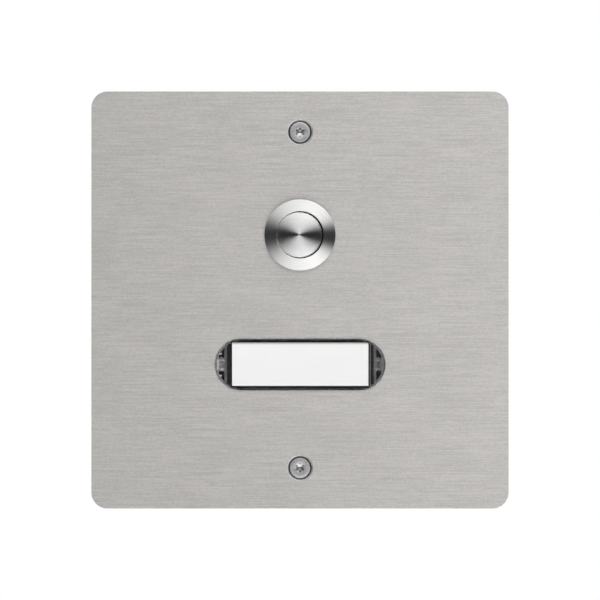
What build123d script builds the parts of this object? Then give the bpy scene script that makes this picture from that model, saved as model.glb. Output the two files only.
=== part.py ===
from build123d import *
import os
from math import cos, radians, tan

# Doorbell push plate: a flush stainless plate that carries a sealed push button
# above a clear-fronted name card, held to the wall box by two countersunk screws.
# Millimetres. The front faces -Y and +Z is up. Heights are measured from the back
# of the plate, positive towards the front, so a height h lies at y = -h.

# Front plate
plate_width = 120.0
plate_height = 120.0
plate_thickness = 2.0
plate_corner_radius = 4.6
plate_edge_round = 0.15

# Fixing screws: countersunk, six-lobe drive
fixing_pitch = 96.6
fixing_thread = 3.0
fixing_length = 20.0
fixing_head = 5.8
fixing_head_land = 0.45
fixing_head_bevel = 0.2
fixing_bevel_drop = 0.04
fixing_tip_chamfer = 0.4
fixing_hole_clearance = 0.4
countersink_diameter = 6.9
countersink_angle = 90.0
countersink_gap = 0.03
drive_diameter = 2.74
drive_valley_diameter = 1.95
drive_flute_radius = 0.42
drive_corner_round = 0.1
drive_depth = 0.95
drive_floor_cone = 0.2
drive_mouth_diameter = 3.0
drive_mouth_depth = 0.12
drive_lobes = 6

# Push button: cap and the stack that moves with it
button_height = 18.7
cap_diameter = 13.05
cap_sink = 0.35
cap_dome = 0.55
cap_centre_flat = 0.3
cap_head_thickness = 3.0
cap_edge_chamfer = 0.2
cap_travel = 1.2
cap_side_play = -0.2
cap_bore_clearance = 0.15
travel_stop_gap = 0.1
stem_diameter = 6.0
stem_clearance = 0.15
seal_section = 1.05
seal_bore_gap = 0.08
seal_groove_slack = 0.15
seal_height = 1.0
clip_thickness = 0.5
clip_outer_diameter = 9.0
clip_groove_depth = 0.55
clip_land_width = 1.3
clip_lands = 3
clip_opening = 3.6
clip_gap = 0.05
plunger_clip_gap = 0.3
plunger_thickness = 2.6
plunger_socket_depth = 1.8
plunger_wall_gap = 0.8
boss_length = 1.6
bridge_thickness = 0.4
bridge_margin = 0.2
push_fit_gap = 0.03

# Push button: housing, nut and seals
housing_wall = 1.2
housing_shank_length = 18.0
housing_end_chamfer = 0.5
flange_overhang = 2.2
flange_rim = 0.8
flange_crown = 1.7
flange_edge_round = 0.25
bore_mouth_chamfer = 0.08
web_thickness = 1.9
chamber_step = 0.5
panel_hole_clearance = 0.2
flange_seal_thickness = 0.38
flange_seal_gap = 0.02
flange_land = 0.45
washer_thickness = 0.8
washer_outer_diameter = 22.0
washer_tooth_length = 0.9
washer_tooth_width = 1.9
washer_teeth = 12
nut_across_flats = 19.0
nut_thickness = 3.0
nut_corner_angle = 30.0
nut_sides = 6
thread_gap = 0.03

# Push button: contact block
base_gap = 0.05
base_flange_overhang = 0.4
base_flange_thickness = 2.0
snap_bead = 0.3
snap_bead_width = 1.0
snap_bead_depth = 2.0
spring_wire = 0.5
spring_turns = 5.5
spring_boss_gap = 0.15
spring_pocket_gap = 0.1
spring_pocket_depth = 2.95
contact_gap = 0.05
contact_stand = 0.7
post_tip_diameter = 2.9
post_body_diameter = 3.9
post_pocket_wall = 0.23
post_side_wall = 0.39
post_tip_length = 4.6
post_proud = 0.2
barrier_thickness = 1.2
barrier_width = 12.0
barrier_stand = 3.0
terminal_thread = 2.5
terminal_thread_depth = 5.0
terminal_screw_reach = 4.5
terminal_head_diameter = 4.5
terminal_head_height = 1.6
terminal_head_chamfer = 0.25
terminal_slot_width = 0.6
terminal_slot_depth = 0.7
clamp_size = 4.3
clamp_thickness = 0.6
clamp_corner_radius = 0.4
stack_gap = 0.03

# Name card under its snap-in window
name_height = -18.6
window_lip = 0.25
window_lip_thickness = 0.5
window_lip_round = 0.2
window_lip_gap = 0.02
window_slot_gap = 0.08
slot_edge_bevel = 0.22
slot_bevel_angle = 45.0
window_wall = 0.4
latch_bay = 2.02
window_skin = 1.0
window_foot_gap = 0.1
pocket_end_wall = 0.7
pocket_end_foot = 0.6
pocket_shift = 0.1
card_stop_width = 0.25
card_stop_gap = 0.4
latch_width = 3.8
latch_block_length = 1.8
latch_block_foot = 0.6
latch_leg_inset = 0.25
latch_leg_thickness = 1.0
latch_hook = 0.7
latch_hook_land = 0.4
latch_lead = 0.95
latch_gap = 0.05
latch_flex_room = 0.7
latch_side_room = 0.3
card_length = 39.25
card_height = 12.5
card_thickness = 0.25
card_shift = 0.07
card_rise = 0.12
card_gap = 0.025
card_end_gap = 1.525
card_side_gap = 0.62
card_corner_gap = 0.05
holder_margin = 1.75
holder_flange_thickness = 1.5
holder_platform_gap = 0.2
holder_wall = 1.2
holder_ribs = 3
holder_rib_thickness = 0.8
latch_cover_wall = 0.6
latch_cover_room = 0.2

# Sizes that follow from the ones above
countersink_slope = tan(radians(countersink_angle / 2))
fixing_rim = plate_thickness - (countersink_diameter - fixing_head) / 2 / countersink_slope + countersink_gap
fixing_top = fixing_rim + fixing_head_land
fixing_cone_end = fixing_rim - (fixing_head - fixing_thread) / 2 / countersink_slope
fixing_tip = fixing_top - fixing_length
drive_floor = fixing_top - drive_depth

cap_bore = cap_diameter + 2 * abs(cap_side_play) + cap_bore_clearance
housing_thread = cap_bore + 2 * housing_wall
panel_hole = housing_thread + panel_hole_clearance
flange_diameter = housing_thread + 2 * flange_overhang
crown = plate_thickness + flange_crown
housing_end = plate_thickness - housing_shank_length
seal_recess = plate_thickness + flange_seal_thickness + flange_seal_gap
seal_recess_radius = flange_diameter / 2 - flange_land
stem_bore = stem_diameter + 2 * abs(cap_side_play) + stem_clearance
chamber_diameter = cap_bore - 2 * chamber_step

cap_face = crown - cap_sink
cap_underside = cap_face - cap_head_thickness
shoulder = cap_underside - cap_travel - travel_stop_gap
web_back = shoulder - web_thickness
seal_centre = cap_underside + seal_height
seal_ring_radius = cap_bore / 2 - seal_bore_gap - seal_section / 2
seal_groove_radius = seal_ring_radius - seal_section / 2 - abs(cap_side_play) - seal_bore_gap
seal_groove_half = (seal_section + seal_groove_slack) / 2
clip_front = web_back - clip_gap
clip_back = clip_front - clip_thickness
clip_root_radius = stem_diameter / 2 - clip_groove_depth
plunger_front = clip_back - plunger_clip_gap
plunger_back = plunger_front - plunger_thickness
plunger_radius = chamber_diameter / 2 - plunger_wall_gap
stem_end = plunger_front - plunger_socket_depth + push_fit_gap
bridge_back = plunger_back - bridge_thickness
boss_end = bridge_back - boss_length

post_tip = bridge_back - cap_travel - contact_gap
base_front = post_tip - contact_stand
base_radius = cap_bore / 2 - base_gap
base_back = housing_end - base_flange_thickness
bead_front = base_front - snap_bead_depth
bead_back = bead_front - snap_bead_width
post_offset = base_radius - post_side_wall - post_body_diameter / 2
spring_pocket_radius = post_offset - post_tip_diameter / 2 - push_fit_gap - post_pocket_wall
spring_radius = spring_pocket_radius - spring_pocket_gap - spring_wire / 2
spring_floor = base_front - spring_pocket_depth
boss_diameter = 2 * (spring_radius - spring_wire / 2 - abs(cap_side_play) - spring_boss_gap)
post_shoulder = post_tip - post_tip_length
post_end = base_back - post_proud
clamp_front = post_end - stack_gap
clamp_back = clamp_front - clamp_thickness
terminal_seat = clamp_back - stack_gap
terminal_top = terminal_seat - terminal_head_height

pocket_length = card_length + 2 * card_end_gap
pocket_height = card_height + 2 * card_side_gap
bay_length = pocket_length + 2 * (pocket_end_wall + latch_bay)
bay_height = pocket_height
window_body_length = bay_length + 2 * window_wall
window_body_height = bay_height + 2 * window_wall
slot_length = window_body_length + 2 * window_slot_gap
slot_height = window_body_height + 2 * window_slot_gap
slot_bevel_depth = slot_edge_bevel / tan(radians(slot_bevel_angle))
window_length = slot_length + 2 * window_lip
window_height = slot_height + 2 * window_lip
window_face = plate_thickness + window_lip_thickness
lip_back = plate_thickness + window_lip_gap
skin_back = window_face - window_skin
card_back = skin_back - card_gap - card_thickness
platform_top = card_back - card_gap
platform_length = pocket_length - 2 * holder_platform_gap
platform_height = pocket_height - 2 * holder_platform_gap
platform_room_length = bay_length - 2 * holder_platform_gap
platform_room_height = bay_height - 2 * holder_platform_gap
card_stop_centre = card_shift + card_length / 2 + card_stop_gap + card_stop_width / 2
latch_root = pocket_length / 2 + pocket_end_wall
leg_inner = latch_root + latch_leg_inset
leg_outer = leg_inner + latch_leg_thickness
hook_face = -holder_flange_thickness - latch_gap
hook_tip = leg_outer + latch_hook
hook_back = hook_face - latch_hook_land
latch_window_inner = leg_inner - latch_flex_room
latch_window_outer = leg_outer + latch_side_room / 2
cover_floor = hook_back - latch_lead - latch_cover_room
cover_back = cover_floor - latch_cover_wall
cover_end = hook_tip + latch_cover_room


def front_plane(height, x=0.0, z=0.0):
    """A plane parallel to the plate's face at a height, with its normal towards the front."""
    return Plane(origin=(x, -height, z), x_dir=(1, 0, 0), z_dir=(0, -1, 0))


def turning_plane(x, z):
    """A plane through a turned piece's axis: local x is the radius, local y the height."""
    return Plane(origin=(x, 0, z), x_dir=(1, 0, 0), z_dir=(0, 0, -1))


def turning_axis(x, z):
    """The axis of a turned piece, square to the plate."""
    return Axis((x, 0, z), (0, -1, 0))


fixing_heights = (fixing_pitch / 2, -fixing_pitch / 2)
moving_axis = turning_axis(cap_side_play, button_height)
moving_plane = turning_plane(cap_side_play, button_height)
fixed_axis = turning_axis(0, button_height)
fixed_plane = turning_plane(0, button_height)

# Front plate: sheet with rounded corners, a hole, a bevelled slot and two countersinks
with BuildPart() as front_plate:
    with BuildSketch(front_plane(0)):
        RectangleRounded(plate_width, plate_height, plate_corner_radius)
    extrude(amount=plate_thickness)
    fillet(front_plate.faces().sort_by(Axis.Y)[0].edges(), plate_edge_round)
    with BuildSketch(front_plane(0)):
        with Locations((0, button_height)):
            Circle(panel_hole / 2)
        with Locations((0, name_height)):
            SlotOverall(slot_length, slot_height)
    extrude(amount=plate_thickness, mode=Mode.SUBTRACT)
    with BuildSketch(front_plane(plate_thickness, z=name_height)):
        SlotOverall(slot_length + 2 * slot_edge_bevel, slot_height + 2 * slot_edge_bevel)
    extrude(amount=-slot_bevel_depth, taper=slot_bevel_angle, mode=Mode.SUBTRACT)
    with Locations(*[front_plane(plate_thickness, z=z) for z in fixing_heights]):
        CounterSinkHole(
            radius=(fixing_thread + fixing_hole_clearance) / 2,
            counter_sink_radius=countersink_diameter / 2,
            depth=plate_thickness,
            counter_sink_angle=countersink_angle,
        )

# Fixing screws: turned head and shank, then the six-lobe drive with its dished mouth and floor
with BuildPart() as fixing_screws:
    for z in fixing_heights:
        with BuildSketch(turning_plane(0, z)):
            with BuildLine():
                Polyline(
                    (0, fixing_top),
                    (fixing_head / 2 - fixing_head_bevel, fixing_top),
                    (fixing_head / 2, fixing_top - fixing_bevel_drop),
                    (fixing_head / 2, fixing_rim),
                    (fixing_thread / 2, fixing_cone_end),
                    (fixing_thread / 2, fixing_tip + fixing_tip_chamfer),
                    (fixing_thread / 2 - fixing_tip_chamfer, fixing_tip),
                    (0, fixing_tip),
                    close=True,
                )
            make_face()
        revolve(axis=turning_axis(0, z))
        with BuildSketch(front_plane(fixing_top, z=z)) as drive:
            Circle(drive_diameter / 2)
            with PolarLocations(drive_valley_diameter / 2 + drive_flute_radius, drive_lobes):
                Circle(drive_flute_radius, mode=Mode.SUBTRACT)
            fillet(drive.vertices(), drive_corner_round)
        extrude(amount=-drive_depth, mode=Mode.SUBTRACT)
        with BuildSketch(turning_plane(0, z)):
            with BuildLine():
                Polyline(
                    (0, fixing_top),
                    (drive_mouth_diameter / 2, fixing_top),
                    (drive_valley_diameter / 2, fixing_top - drive_mouth_depth),
                    (drive_valley_diameter / 2, drive_floor),
                    (0, drive_floor - drive_floor_cone),
                    close=True,
                )
            make_face()
        revolve(axis=turning_axis(0, z), mode=Mode.SUBTRACT)

# Button housing: coned flange, threaded shank, cap bore, web and contact chamber
with BuildPart() as button_housing:
    with BuildSketch(fixed_plane) as housing_section:
        with BuildLine():
            Polyline(
                (cap_bore / 2, crown - bore_mouth_chamfer),
                (cap_bore / 2 + bore_mouth_chamfer, crown),
                (flange_diameter / 2, plate_thickness + flange_rim),
                (flange_diameter / 2, plate_thickness),
                (seal_recess_radius, plate_thickness),
                (seal_recess_radius, seal_recess),
                (housing_thread / 2, seal_recess),
                (housing_thread / 2, housing_end + housing_end_chamfer),
                (housing_thread / 2 - housing_end_chamfer, housing_end),
                (cap_bore / 2, housing_end),
                (cap_bore / 2, bead_back - base_gap),
                (cap_bore / 2 + snap_bead, bead_back - base_gap),
                (cap_bore / 2 + snap_bead, bead_front + base_gap),
                (cap_bore / 2, bead_front + base_gap),
                (cap_bore / 2, base_front),
                (chamber_diameter / 2, base_front),
                (chamber_diameter / 2, web_back),
                (stem_bore / 2, web_back),
                (stem_bore / 2, shoulder),
                (cap_bore / 2, shoulder),
                close=True,
            )
        make_face()
        flange_corner = housing_section.vertices().sort_by_distance(
            fixed_plane.from_local_coords((flange_diameter / 2, plate_thickness + flange_rim, 0))
        )[0]
        fillet(flange_corner, flange_edge_round)
    revolve(axis=fixed_axis)

# Flange seal: flat rubber ring in the recess under the housing's flange
with BuildPart() as flange_seal:
    with BuildSketch(front_plane(plate_thickness, z=button_height)):
        Circle(seal_recess_radius - flange_seal_gap)
        Circle(panel_hole / 2 + flange_seal_gap, mode=Mode.SUBTRACT)
    extrude(amount=flange_seal_thickness)

# Lock washer: flat ring with teeth that point in at the thread
with BuildPart() as lock_washer:
    tooth_tip = panel_hole / 2
    tooth_root = tooth_tip + washer_tooth_length
    with BuildSketch(front_plane(-washer_thickness, z=button_height)):
        Circle(washer_outer_diameter / 2)
        Circle(tooth_root, mode=Mode.SUBTRACT)
        with PolarLocations(tooth_root, washer_teeth):
            Rectangle(2 * washer_tooth_length, washer_tooth_width)
        Circle(tooth_tip, mode=Mode.SUBTRACT)
    extrude(amount=washer_thickness)

# Lock nut: hexagon with its corners turned off at both faces
with BuildPart() as lock_nut:
    nut_back = -washer_thickness - nut_thickness
    with BuildSketch(front_plane(nut_back, z=button_height)):
        RegularPolygon(nut_across_flats / 2, nut_sides, major_radius=False)
        Circle(housing_thread / 2 + thread_gap, mode=Mode.SUBTRACT)
    extrude(amount=nut_thickness)
    nut_corner = nut_across_flats / 2 / cos(radians(180 / nut_sides)) + thread_gap
    corner_drop = (nut_corner - nut_across_flats / 2) * tan(radians(nut_corner_angle))
    with BuildSketch(fixed_plane):
        with BuildLine():
            Polyline(
                (0, nut_back),
                (nut_across_flats / 2, nut_back),
                (nut_corner, nut_back + corner_drop),
                (nut_corner, -washer_thickness - corner_drop),
                (nut_across_flats / 2, -washer_thickness),
                (0, -washer_thickness),
                close=True,
            )
        make_face()
    revolve(axis=fixed_axis, mode=Mode.INTERSECT)

# Push cap: domed head with a seal groove, and a stem with a clip groove
with BuildPart() as push_cap:
    with BuildSketch(moving_plane):
        with BuildLine():
            dome_top = (0, cap_face + cap_dome)
            flat_edge = (cap_centre_flat / 2, cap_face + cap_dome)
            dome_edge = (cap_diameter / 2 - cap_edge_chamfer, cap_face)
            TangentArc(flat_edge, dome_edge, tangent=(1, 0))
            Polyline(
                dome_edge,
                (cap_diameter / 2, cap_face - cap_edge_chamfer),
                (cap_diameter / 2, seal_centre + seal_groove_half),
                (seal_groove_radius, seal_centre + seal_groove_half),
                (seal_groove_radius, seal_centre - seal_groove_half),
                (cap_diameter / 2, seal_centre - seal_groove_half),
                (cap_diameter / 2, cap_underside),
                (stem_diameter / 2, cap_underside),
                (stem_diameter / 2, clip_front + push_fit_gap),
                (clip_root_radius, clip_front + push_fit_gap),
                (clip_root_radius, clip_back - push_fit_gap),
                (stem_diameter / 2, clip_back - push_fit_gap),
                (stem_diameter / 2, stem_end),
                (0, stem_end),
                dome_top,
                flat_edge,
            )
        make_face()
    revolve(axis=moving_axis)

# Cap seal: round rubber ring, centred by the bore
with BuildPart() as cap_seal:
    with BuildSketch(fixed_plane):
        with Locations((seal_ring_radius, seal_centre)):
            Circle(seal_section / 2)
    revolve(axis=fixed_axis)

# Retaining clip: open ring with lands that grip the stem's groove
with BuildPart() as retaining_clip:
    grip_radius = clip_root_radius + push_fit_gap
    relief_radius = stem_diameter / 2 + push_fit_gap
    with BuildSketch(front_plane(clip_back, cap_side_play, button_height)):
        Circle(clip_outer_diameter / 2)
        Circle(relief_radius, mode=Mode.SUBTRACT)
        with PolarLocations(relief_radius, clip_lands, start_angle=90):
            Rectangle(2 * clip_groove_depth, clip_land_width)
        Circle(grip_radius, mode=Mode.SUBTRACT)
        with Locations((0, -clip_outer_diameter / 2)):
            Rectangle(clip_opening, clip_outer_diameter, mode=Mode.SUBTRACT)
    extrude(amount=clip_thickness)

# Plunger: moulded head pressed on the stem, with a boss that centres the spring
with BuildPart() as plunger:
    with BuildSketch(moving_plane):
        with BuildLine():
            Polyline(
                (stem_diameter / 2 + push_fit_gap, plunger_front),
                (plunger_radius, plunger_front),
                (plunger_radius, plunger_back),
                (boss_diameter / 2, plunger_back),
                (boss_diameter / 2, boss_end),
                (0, boss_end),
                (0, plunger_front - plunger_socket_depth),
                (stem_diameter / 2 + push_fit_gap, plunger_front - plunger_socket_depth),
                close=True,
            )
        make_face()
    revolve(axis=moving_axis)

# Contact bridge: disc on the boss that joins the two posts when it is pressed
with BuildPart() as contact_bridge:
    with BuildSketch(front_plane(bridge_back, cap_side_play, button_height)):
        Circle(plunger_radius - bridge_margin)
        Circle(boss_diameter / 2 + push_fit_gap, mode=Mode.SUBTRACT)
    extrude(amount=bridge_thickness)

# Return spring: round wire coiled between the bridge and the floor of its pocket
with BuildPart() as return_spring:
    coil_start = spring_floor + spring_wire / 2 + stack_gap
    coil_height = bridge_back - stack_gap - spring_wire / 2 - coil_start
    with BuildLine() as coil:
        Helix(
            pitch=coil_height / spring_turns,
            height=coil_height,
            radius=spring_radius,
            center=(0, -coil_start, button_height),
            direction=(0, -1, 0),
        )
    with BuildSketch(Plane(origin=coil.line @ 0, z_dir=coil.line % 0)):
        Circle(spring_wire / 2)
    sweep(path=coil.line, is_frenet=True)

# Switch base: moulded block snapped into the housing, with a barrier between terminals
with BuildPart() as switch_base:
    with BuildSketch(fixed_plane):
        with BuildLine():
            Polyline(
                (spring_pocket_radius, base_front),
                (base_radius, base_front),
                (base_radius, bead_front),
                (base_radius + snap_bead, (bead_front + bead_back) / 2),
                (base_radius + snap_bead, bead_back),
                (base_radius, bead_back),
                (base_radius, housing_end),
                (cap_bore / 2 + base_flange_overhang, housing_end),
                (cap_bore / 2 + base_flange_overhang, base_back),
                (0, base_back),
                (0, spring_floor),
                (spring_pocket_radius, spring_floor),
                close=True,
            )
        make_face()
    revolve(axis=fixed_axis)
    with BuildSketch(front_plane(base_back, z=button_height)):
        Rectangle(barrier_thickness, barrier_width)
    extrude(amount=-barrier_stand)
    for x in (-post_offset, post_offset):
        with BuildSketch(front_plane(base_back, x, button_height)):
            Circle(post_body_diameter / 2 + push_fit_gap)
        extrude(amount=post_shoulder + push_fit_gap - base_back, mode=Mode.SUBTRACT)
        with BuildSketch(front_plane(base_back, x, button_height)):
            Circle(post_tip_diameter / 2 + push_fit_gap)
        extrude(amount=base_front - base_back, mode=Mode.SUBTRACT)


def terminal_post(x):
    """A stepped contact post, tapped from its rear end for a terminal screw."""
    with BuildPart() as post:
        with BuildSketch(turning_plane(x, button_height)):
            with BuildLine():
                Polyline(
                    (0, post_tip),
                    (post_tip_diameter / 2, post_tip),
                    (post_tip_diameter / 2, post_shoulder),
                    (post_body_diameter / 2, post_shoulder),
                    (post_body_diameter / 2, post_end),
                    (terminal_thread / 2 + thread_gap, post_end),
                    (terminal_thread / 2 + thread_gap, post_end + terminal_thread_depth),
                    (0, post_end + terminal_thread_depth),
                    close=True,
                )
            make_face()
        revolve(axis=turning_axis(x, button_height))
    return post.part


terminal_post_left = terminal_post(-post_offset)
terminal_post_right = terminal_post(post_offset)

# Clamp plates: square washers that hold the wires, one on each post
with BuildPart() as clamp_plates:
    for x in (-post_offset, post_offset):
        with BuildSketch(front_plane(clamp_back, x, button_height)):
            RectangleRounded(clamp_size, clamp_size, clamp_corner_radius)
            Circle(terminal_thread / 2 + thread_gap, mode=Mode.SUBTRACT)
        extrude(amount=clamp_thickness)

# Terminal screws: slotted cheese heads
with BuildPart() as terminal_screws:
    for x in (-post_offset, post_offset):
        with BuildSketch(turning_plane(x, button_height)):
            with BuildLine():
                Polyline(
                    (0, post_end + terminal_screw_reach),
                    (terminal_thread / 2, post_end + terminal_screw_reach),
                    (terminal_thread / 2, terminal_seat),
                    (terminal_head_diameter / 2, terminal_seat),
                    (terminal_head_diameter / 2, terminal_top + terminal_head_chamfer),
                    (terminal_head_diameter / 2 - terminal_head_chamfer, terminal_top),
                    (0, terminal_top),
                    close=True,
                )
            make_face()
        revolve(axis=turning_axis(x, button_height))
        with BuildSketch(front_plane(terminal_top, x, button_height)):
            Rectangle(2 * terminal_head_diameter, terminal_slot_width)
        extrude(amount=terminal_slot_depth, mode=Mode.SUBTRACT)

# Name card window: clear moulding with a lip, a walled card pocket and two latches
with BuildPart() as nameplate_window:
    with BuildSketch(front_plane(lip_back, z=name_height)):
        SlotOverall(window_length, window_height)
    extrude(amount=window_face - lip_back)
    fillet(nameplate_window.faces().sort_by(Axis.Y)[0].edges(), window_lip_round)
    with BuildSketch(front_plane(skin_back, z=name_height)):
        SlotOverall(window_body_length, window_body_height)
    extrude(amount=lip_back - skin_back)
    with BuildSketch(front_plane(window_foot_gap, z=name_height)):
        SlotOverall(window_body_length, window_body_height)
        SlotOverall(bay_length, bay_height, mode=Mode.SUBTRACT)
    extrude(amount=skin_back - window_foot_gap)
    with BuildSketch(front_plane(pocket_end_foot, z=name_height)):
        for side in (-1, 1):
            with Locations((pocket_shift + side * (pocket_length + pocket_end_wall) / 2, 0)):
                Rectangle(pocket_end_wall, window_body_height)
        SlotOverall(window_body_length, window_body_height, mode=Mode.INTERSECT)
    extrude(amount=skin_back - pocket_end_foot)
    with BuildSketch(front_plane(card_back, z=name_height)):
        with Locations((card_stop_centre, 0)):
            Rectangle(card_stop_width, window_body_height)
        SlotOverall(window_body_length, window_body_height, mode=Mode.INTERSECT)
    extrude(amount=skin_back - card_back)
    with BuildSketch(turning_plane(0, name_height + latch_width / 2)):
        for side in (-1, 1):
            with BuildLine():
                Polyline(
                    (side * latch_root, skin_back),
                    (side * (latch_root + latch_block_length), skin_back),
                    (side * (latch_root + latch_block_length), latch_block_foot),
                    (side * leg_outer, latch_block_foot),
                    (side * leg_outer, hook_face),
                    (side * hook_tip, hook_face),
                    (side * hook_tip, hook_back),
                    (side * leg_outer, hook_back - latch_lead),
                    (side * leg_inner, hook_back - latch_lead),
                    (side * leg_inner, latch_block_foot),
                    (side * latch_root, latch_block_foot),
                    close=True,
                )
            make_face()
    extrude(amount=latch_width)

# Name card: blank strip behind the window, its corners cut to the window's round ends
with BuildPart() as name_card:
    with BuildSketch(front_plane(card_back, z=name_height)):
        with Locations((card_shift, card_rise)):
            Rectangle(card_length, card_height)
        SlotOverall(bay_length - 2 * card_corner_gap, bay_height - 2 * card_corner_gap, mode=Mode.INTERSECT)
    extrude(amount=card_thickness)

# Name card holder: black moulding behind the plate, with a hollow ribbed platform
# and a cover behind each latch
with BuildPart() as nameplate_holder:
    with BuildSketch(front_plane(-holder_flange_thickness, z=name_height)):
        SlotOverall(slot_length + 2 * holder_margin, slot_height + 2 * holder_margin)
    extrude(amount=holder_flange_thickness)
    with BuildSketch(front_plane(0, z=name_height)):
        with Locations((pocket_shift, 0)):
            Rectangle(platform_length, platform_height)
        SlotOverall(platform_room_length, platform_room_height, mode=Mode.INTERSECT)
    extrude(amount=platform_top)
    hollow_length = platform_length - 2 * holder_wall
    with BuildSketch(front_plane(-holder_flange_thickness, z=name_height)):
        Rectangle(hollow_length, platform_height - 2 * holder_wall)
        with GridLocations(hollow_length / (holder_ribs + 1), 1, holder_ribs, 1):
            Rectangle(holder_rib_thickness, platform_height, mode=Mode.SUBTRACT)
    extrude(amount=holder_flange_thickness + platform_top - holder_wall, mode=Mode.SUBTRACT)
    cover_start = latch_window_inner - latch_cover_wall
    cover_opening = latch_width + 2 * latch_side_room
    with BuildSketch(front_plane(cover_back, z=name_height)):
        with GridLocations(cover_start + cover_end, 1, 2, 1):
            Rectangle(cover_end - cover_start, cover_opening + 2 * latch_cover_wall)
    extrude(amount=-holder_flange_thickness - cover_back)
    with BuildSketch(front_plane(cover_floor, z=name_height)):
        with GridLocations(latch_window_inner + cover_end, 1, 2, 1):
            Rectangle(cover_end - latch_window_inner, cover_opening)
    extrude(amount=-holder_flange_thickness - cover_floor, mode=Mode.SUBTRACT)
    with BuildSketch(front_plane(-holder_flange_thickness, z=name_height)):
        with GridLocations(latch_window_inner + latch_window_outer, 1, 2, 1):
            Rectangle(latch_window_outer - latch_window_inner, cover_opening)
    extrude(amount=holder_flange_thickness, mode=Mode.SUBTRACT)

pieces = {
    "front_plate": front_plate.part,
    "fixing_screws": fixing_screws.part,
    "button_housing": button_housing.part,
    "flange_seal": flange_seal.part,
    "lock_washer": lock_washer.part,
    "lock_nut": lock_nut.part,
    "push_cap": push_cap.part,
    "cap_seal": cap_seal.part,
    "retaining_clip": retaining_clip.part,
    "plunger": plunger.part,
    "contact_bridge": contact_bridge.part,
    "return_spring": return_spring.part,
    "switch_base": switch_base.part,
    "terminal_post_left": terminal_post_left,
    "terminal_post_right": terminal_post_right,
    "clamp_plates": clamp_plates.part,
    "terminal_screws": terminal_screws.part,
    "nameplate_window": nameplate_window.part,
    "name_card": name_card.part,
    "nameplate_holder": nameplate_holder.part,
}

os.makedirs("parts", exist_ok=True)
for name, piece in pieces.items():
    piece.label = name
    export_step(piece, f"parts/{name}.step")
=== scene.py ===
# %% [markdown]
# # A doorbell push plate
#
# The object is a flush stainless plate for a front door: a sealed push button above a name
# card under a clear window, held to its wall box by two countersunk screws. All shapes and
# sizes come from a packed CAD model. This lesson gives its pieces their finishes, cuts the
# screw threads and winds the spring, and sets up the camera and the light. Blender could
# model each piece again, but then nothing would keep the sizes together, so every piece
# stays where the packed model has it.

# %% Load the packed model
from math import pi, radians, sin
import bpy
import bmesh
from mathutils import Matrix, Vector


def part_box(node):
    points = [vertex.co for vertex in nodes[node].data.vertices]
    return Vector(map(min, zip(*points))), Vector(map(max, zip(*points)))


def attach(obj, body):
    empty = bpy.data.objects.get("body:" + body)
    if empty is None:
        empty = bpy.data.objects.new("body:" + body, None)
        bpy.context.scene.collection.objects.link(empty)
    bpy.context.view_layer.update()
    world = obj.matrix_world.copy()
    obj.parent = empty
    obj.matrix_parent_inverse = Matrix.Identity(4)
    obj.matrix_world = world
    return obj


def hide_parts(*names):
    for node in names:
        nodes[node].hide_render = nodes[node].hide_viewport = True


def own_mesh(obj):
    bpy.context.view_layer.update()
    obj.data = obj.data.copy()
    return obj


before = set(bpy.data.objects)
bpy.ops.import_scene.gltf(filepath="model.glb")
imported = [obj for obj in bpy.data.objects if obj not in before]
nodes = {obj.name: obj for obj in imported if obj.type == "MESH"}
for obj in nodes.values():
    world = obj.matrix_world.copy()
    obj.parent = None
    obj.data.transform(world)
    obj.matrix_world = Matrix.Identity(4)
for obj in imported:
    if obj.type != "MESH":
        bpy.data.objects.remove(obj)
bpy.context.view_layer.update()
MM = 0.001

# %% [markdown]
# ## The camera
#
# The photograph is taken square on, from the height of the plate's middle. An orthographic
# camera would match the outline as well, but it would look straight down every recess. A
# long lens a little way off still sees a sliver of the walls of the countersinks, as the
# photograph does. The lens follows from the width that has to fill the picture.

# %% Place the camera
camera_distance = 400 * MM
picture_width = 172.6 * MM
plate_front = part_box("front_plate")[0].y

lens = bpy.data.cameras.new("camera")
lens.lens = lens.sensor_width * camera_distance / picture_width
camera = bpy.data.objects.new("camera", lens)
camera.location = (0, plate_front - camera_distance, 0)
camera.rotation_euler = (pi / 2, 0, 0)
bpy.context.scene.collection.objects.link(camera)
bpy.context.scene.camera = camera
bpy.context.scene.view_settings.view_transform = "Standard"
print("lens in mm:", round(lens.lens, 1))

# %% [markdown]
# ## Writing nodes as sums
#
# A finish is a tree of nodes, and most of a tree is arithmetic. Adding and linking each
# Math node by hand hides the idea behind the wiring, so one small class wraps a socket:
# a sum or a product of two wires adds its Math node by itself. Every other node comes
# from the bench's one method, which sets a node's own settings first and its sockets after.
# A list of wires goes into a socket that takes several.

# %% A wire
class Wire:
    """One socket's output. Arithmetic on it adds Math nodes to its tree."""

    def __init__(self, bench, socket):
        self.bench = bench
        self.socket = socket

    def other(self, output):
        """Another output of the node that this wire comes from."""
        return Wire(self.bench, self.socket.node.outputs[output])

    def math(self, operation, *terms):
        return self.bench.node("ShaderNodeMath", {"operation": operation}, dict(enumerate(terms)))

    def __add__(self, term):
        return self.math("ADD", self, term)

    def __radd__(self, term):
        return self.math("ADD", term, self)

    def __sub__(self, term):
        return self.math("SUBTRACT", self, term)

    def __rsub__(self, term):
        return self.math("SUBTRACT", term, self)

    def __mul__(self, term):
        return self.math("MULTIPLY", self, term)

    def __rmul__(self, term):
        return self.math("MULTIPLY", term, self)

    def __truediv__(self, term):
        return self.math("DIVIDE", self, term)

    def __rtruediv__(self, term):
        return self.math("DIVIDE", term, self)

    def __pow__(self, term):
        return self.math("POWER", self, term)

    def __abs__(self):
        return self.math("ABSOLUTE", self)

    def least(self, term):
        return self.math("MINIMUM", self, term)

    def most(self, term):
        return self.math("MAXIMUM", self, term)


print("a wire:", Wire.__doc__)

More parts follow.
